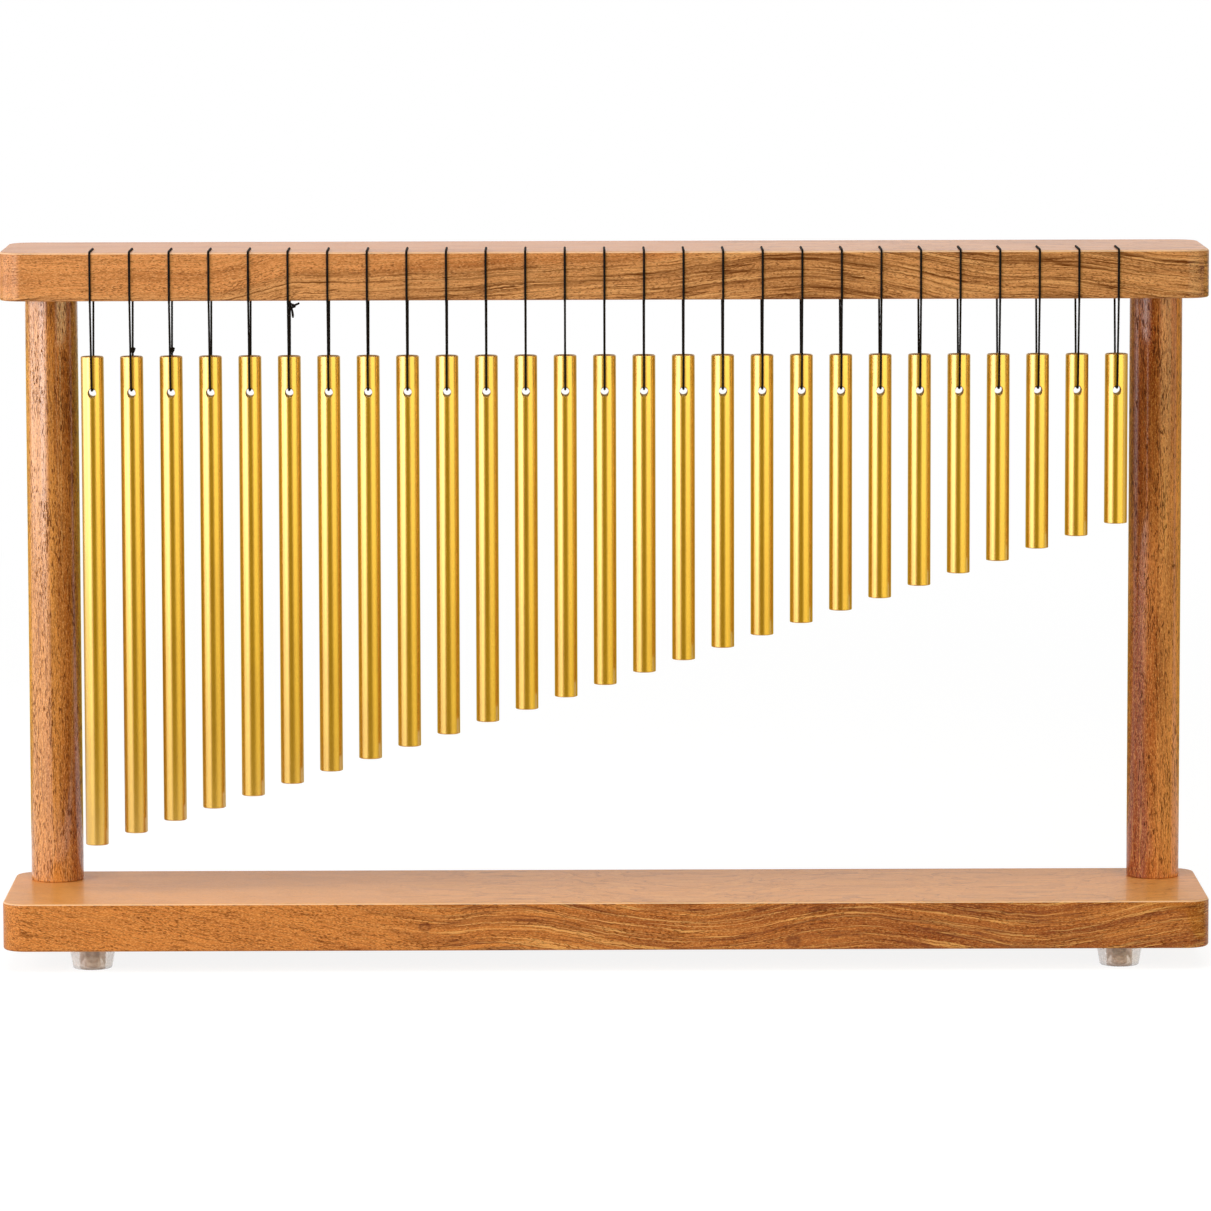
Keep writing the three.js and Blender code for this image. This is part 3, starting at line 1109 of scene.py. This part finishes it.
def make_bars():
    """Copies of the prototype, each moved to its place and stretched to its length."""
    prototype = bar_prototype()
    rest = np.array([v.co for v in prototype.data.vertices])
    low = rest[:, 2] < (BAR_HOLE_Z - BAR_STRETCH_BELOW) * MM
    for index in range(BAR_COUNT):
        number = f"{index + 1:02d}"
        length = LONGEST_BAR - index * (LONGEST_BAR - SHORTEST_BAR) / (BAR_COUNT - 1)
        points = rest.copy()
        points[:, 0] += bar_x(index) * MM
        points[low, 2] -= (length - SHORTEST_BAR) * MM
        mesh = prototype.data.copy()
        mesh.name = "bar_" + number
        mesh.vertices.foreach_set("co", points.ravel())
        mesh.update()
        bar = add_object("bar_" + number, mesh)
        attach(bar, "swing_" + number)
        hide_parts("chime_" + number)
    bpy.data.objects.remove(prototype)


make_bars()


# The cords


def loop_corners(x):
    """Corners of a cord's middle line: through the bar, up the front of the beam and down its hole."""
    return [
        Vector((x, BAR_Y + MOUTH, IN_BAR_Z)),
        Vector((x, BAR_Y - MOUTH, IN_BAR_Z)),
        Vector((x, FRONT_STRAND_Y, HINGE_Z)),
        Vector((x, FRONT_STRAND_Y, OVER_TOP_Z)),
        Vector((x, BACK_STRAND_Y, OVER_TOP_Z)),
        Vector((x, BACK_STRAND_Y, HINGE_Z)),
    ]


def corner_arc(before, here, after):
    """Points of the small arc at a corner of the route."""
    to_before = (before - here).normalized()
    to_after = (after - here).normalized()
    half = to_before.angle(to_after) / 2
    centre = here + (to_before + to_after).normalized() * (CORD_BEND / math.sin(half))
    start = here + to_before * (CORD_BEND / math.tan(half)) - centre
    axis = to_after.cross(to_before).normalized()
    sweep = math.pi - 2 * half
    steps = max(2, round(CORD_BEND * sweep / CORD_STEP))
    return [centre + Matrix.Rotation(sweep * k / steps, 3, axis) @ start for k in range(steps + 1)]


def rounded_route(corners):
    """Even points along the straight runs and the arcs between them, all round."""
    count = len(corners)
    arcs = [corner_arc(corners[i - 1], corners[i], corners[(i + 1) % count]) for i in range(count)]
    points = []
    for i in range(count):
        points.extend(arcs[i])
        start = arcs[i][-1]
        target = arcs[(i + 1) % count][0]
        steps = max(1, round((target - start).length / CORD_STEP))
        points.extend(start.lerp(target, k / steps) for k in range(1, steps))
    return points


def tube(name, route, sides, closed):
    """A cord along the route, its skin raised where strands cross, with braid coordinates."""
    count = len(route)
    links = count if closed else count - 1
    length = sum((route[(i + 1) % count] - route[i]).length for i in range(links))
    pitch = length / max(1, round(length / STITCH))
    points = []
    marks = []
    run = 0.0
    side = None
    for i, middle in enumerate(route):
        before = route[i - 1] if closed else route[max(i - 1, 0)]
        after = route[(i + 1) % count] if closed else route[min(i + 1, count - 1)]
        ahead = (after - before).normalized()
        if side is None:
            side = Vector((1, 0, 0)) if abs(ahead.x) < 0.9 else ahead.orthogonal().normalized()
        side = (side - ahead * side.dot(ahead)).normalized()
        other = ahead.cross(side)
        phase = 2 * math.pi * run / pitch
        groove = GROOVE_ON_WOOD if middle.z > HINGE_Z else GROOVE_HANGING
        for k in range(sides):
            angle = 2 * math.pi * k / sides
            turn = STRAND_WAVES * angle
            weave = max(math.sin(turn + phase), math.sin(turn - phase), WEAVE_FLOOR)
            radius = CORD_RADIUS * (CORD_FULL - groove * (1 - weave))
            points.append(middle + (side * math.cos(angle) + other * math.sin(angle)) * radius)
            marks.append((math.cos(angle), math.sin(angle), run * STITCH / pitch))
        run += (route[(i + 1) % count] - middle).length
    faces = skin(count, sides, closed)
    if not closed:
        faces += caps(count, sides)
    cord = make_mesh(name, points, faces, CORD_SMOOTH_ANGLE)
    attribute = cord.data.attributes.new("braid", "FLOAT_VECTOR", "POINT")
    attribute.data.foreach_set("vector", np.array(marks, np.float32).ravel())
    cord.data.materials.append(cord_black)
    return cord


def tail(at, direction, offset):
    """A loose end that leaves along the direction and ends at the offset."""
    offset = Vector(offset)
    bend = at + direction.normalized() * (offset.length * TAIL_STIFFNESS)
    curve = []
    for k in range(1, TAIL_STEPS + 1):
        t = k / TAIL_STEPS
        curve.append(at * (1 - t) ** 2 + bend * 2 * t * (1 - t) + (at + offset) * t * t)
    return curve


def knot_route(centre, size, tails, turn):
    """A small overhand knot, turned in the X-Z plane, with two loose ends that curve away."""
    half_x, half_y, half_z = size
    cosine = math.cos(math.radians(turn))
    sine = math.sin(math.radians(turn))
    points = []
    for i in range(KNOT_STEPS + 1):
        t = KNOT_GAP + (2 * math.pi - 2 * KNOT_GAP) * i / KNOT_STEPS
        x = (math.sin(t) + 2 * math.sin(2 * t)) / 3 * half_x
        y = -math.sin(3 * t) * half_y * KNOT_DEPTH_SHARE
        z = (math.cos(t) - 2 * math.cos(2 * t)) / 3 * half_z
        points.append(centre + Vector((x * cosine + z * sine, y, z * cosine - x * sine)))
    first = tail(points[0], points[0] - points[1], tails[0])
    last = tail(points[-1], points[-1] - points[-2], tails[1])
    return first[::-1] + points + last


def small_knot_centre(x, level):
    """A place just behind the back strand, at a height."""
    share = (level - IN_BAR_Z) / (HINGE_Z - IN_BAR_Z)
    strand_y = BAR_Y + MOUTH + share * (BACK_STRAND_Y - BAR_Y - MOUTH)
    return Vector((x, strand_y + SMALL_KNOT_BEHIND, level))


def make_cords():
    for bar in range(1, BAR_COUNT + 1):
        number = f"{bar:02d}"
        x = bar_x(bar - 1)
        loop = tube("loop_" + number, rounded_route(loop_corners(x)), LOOP_SIDES, True)
        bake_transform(loop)
        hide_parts("cord_" + number)
        if bar == FRONT_KNOT_BAR:
            dx, dy, dz = FRONT_KNOT_OFFSET
            centre = Vector((x + dx, FRONT_STRAND_Y + dy, HINGE_Z + dz))
            route = knot_route(centre, FRONT_KNOT_SIZE, FRONT_KNOT_TAILS, FRONT_KNOT_TURN)
        else:
            level = HIGH_KNOTS.get(bar, IN_BAR_Z + HIDDEN_KNOT_RISE)
            route = knot_route(small_knot_centre(x, level), SMALL_KNOT_SIZE, SMALL_KNOT_TAILS, 0)
        knot = tube("knot_" + number, route, KNOT_SIDES, False)
        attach(knot, "swing_" + number)


make_cords()


# The stage


def make_floor():
    """White where it is looked at, but for the object's shadow, and grey as a source of light."""
    mesh = bpy.data.meshes.new("floor")
    signs = ((-1, -1), (1, -1), (1, 1), (-1, 1))
    mesh.from_pydata([(x * FLOOR_HALF, y * FLOOR_HALF, 0) for x, y in signs], [], [(0, 1, 2, 3)])
    s = Surface("pale_floor")
    near = s.fill(s.node("ShaderNodeAddShader"), s.emission(FLOOR_LIFT), s.diffuse(FLOOR_SHADOWED))
    geometry = s.node("ShaderNodeNewGeometry")
    x, y, _ = s.split(geometry.outputs["Position"])
    away = s.calc("SQRT", s.plus(s.times(x, x), s.times(y, y)))
    seen = s.mix_shader(s.spread(away, *FLOOR_FADE), near, s.emission(1.0))
    upper = s.mix_shader(s.seen_directly(), s.diffuse(FLOOR_PLAIN), seen)
    clear = s.node("ShaderNodeBsdfTransparent").outputs[0]
    mesh.materials.append(s.show(s.mix_shader(geometry.outputs["Backfacing"], upper, clear)))
    add_object("floor", mesh)


def make_world():
    """White where it is looked at, and a dim light on everything else."""
    world = bpy.data.worlds.new("studio")
    bpy.context.scene.world = world
    world.use_nodes = True
    w = Nodes(world.node_tree)
    room = w.node("ShaderNodeBackground")
    room.inputs["Strength"].default_value = ROOM_LIGHT
    white = w.fill(w.node("ShaderNodeBackground"), (1, 1, 1, 1), 1.0)
    output = w.node("ShaderNodeOutputWorld")
    w.feed(output.inputs["Surface"], w.mix_shader(w.seen_directly(), room.outputs[0], white))


def softbox(name, azimuth, distance, height, wide, tall, radiance, tint=(1.0, 1.0, 1.0)):
    """A soft lamp round the object. Azimuth 0 is in front and 90 on the right."""
    lamp = bpy.data.lights.new(name, "AREA")
    lamp.shape = "RECTANGLE"
    lamp.size = wide
    lamp.size_y = tall
    lamp.energy = radiance * math.pi * wide * tall
    lamp.color = tint
    angle = math.radians(azimuth)
    obj = add_object(name, lamp)
    obj.location = (math.sin(angle) * distance, -math.cos(angle) * distance, height)
    obj.rotation_euler = (LAMP_AIM - obj.location).to_track_quat("-Z", "Y").to_euler()
    obj.visible_camera = False


def make_card(name, points, faces, level, tint):
    """A glowing sheet that only mirrors see: a painted reflection."""
    mesh = bpy.data.meshes.new(name)
    mesh.from_pydata(points, [], faces)
    s = Surface(name)
    mesh.materials.append(s.show(s.emission(level, tint)))
    card = add_object(name, mesh)
    card.visible_camera = False
    card.visible_diffuse = False
    card.visible_shadow = False
    card.visible_transmission = False


def make_front_card():
    """A dim painted reflection for the photographer's side: it fans out over the floor in front, then
    stands up.
    """
    slope = math.tan(math.radians(FRONT_CARD_HALF_ANGLE))
    middle = math.tan(math.radians(FRONT_CARD_TURN))
    points = []
    for away, height in ((CARD_NEAR, CARD_LIFT), (CARD_FAR, CARD_LIFT), (CARD_FAR, CARD_TOP)):
        for side in (-1, 1):
            points.append((middle * away + side * (slope * away + CARD_START), -away, height))
    make_card("dim_painted_reflection_front", points, [(0, 1, 3, 2), (2, 3, 5, 4)], FRONT_CARD_LEVEL, PAINTED_REFLECTION_TINT)


def make_rear_card():
    """A dim painted reflection on the floor behind, which the edges of posts and bars mirror."""
    points = []
    for away in (CARD_NEAR, CARD_FAR):
        for side, reach in ((-1, REAR_CARD_LEFT), (1, REAR_CARD_RIGHT)):
            slope = math.tan(math.radians(reach))
            points.append((side * (slope * away + CARD_START), away, CARD_LIFT))
    make_card("dim_painted_reflection_rear", points, [(0, 1, 3, 2)], REAR_CARD_LEVEL, PAINTED_REFLECTION_TINT)


def make_warm_card():
    """A warm painted reflection on the floor on the right, just under the other cards."""
    points = []
    for away in (CARD_NEAR, CARD_FAR):
        for azimuth in WARM_CARD_AZIMUTHS:
            angle = math.radians(azimuth)
            points.append((away * math.sin(angle), -away * math.cos(angle), CARD_LIFT / 2))
    count = len(WARM_CARD_AZIMUTHS)
    faces = [(i, i + 1, i + 1 + count, i + count) for i in range(count - 1)]
    make_card("warm_painted_reflection_right", points, faces, WARM_CARD_LEVEL, WARM_PAINTED_REFLECTION_TINT)


def make_camera():
    data = bpy.data.cameras.new("camera")
    data.sensor_width = CAMERA_SENSOR
    data.lens = CAMERA_FOCUS_PX * CAMERA_SENSOR / IMAGE_PX
    data.clip_start, data.clip_end = CAMERA_CLIP
    pitch, yaw, roll = (math.radians(angle) for angle in (CAMERA_PITCH, CAMERA_YAW, CAMERA_ROLL))
    ahead = Vector((math.sin(yaw) * math.cos(pitch), math.cos(yaw) * math.cos(pitch), -math.sin(pitch)))
    level = Vector((math.cos(yaw), -math.sin(yaw), 0))
    down = ahead.cross(level)
    right = level * math.cos(roll) + down * math.sin(roll)
    up = right.cross(ahead)
    rows = Matrix((right, up, -ahead)).transposed()
    camera = add_object("camera", data)
    camera.matrix_world = Matrix.Translation(CAMERA_PLACE * MM) @ rows.to_4x4()
    bpy.context.scene.camera = camera


make_floor()
make_world()
softbox("key_left", -66, 1.46, 0.54, wide=2.4, tall=1.1, radiance=2.45)
softbox("key_core", -47, 1.5, 0.54, wide=0.5, tall=1.1, radiance=2.2)
softbox("fill_right", 47, 2.1, 0.54, wide=1.8, tall=1.1, radiance=2.3, tint=FILL_TINT)
softbox("rear", 180, 3.0, 1.6, wide=1.6, tall=1.2, radiance=1.2)
softbox("overhead", 0, 1.1, 3.1, wide=2.6, tall=1.8, radiance=3.0)
make_front_card()
make_rear_card()
make_warm_card()
make_camera()
bpy.context.scene.view_settings.view_transform = "Standard"
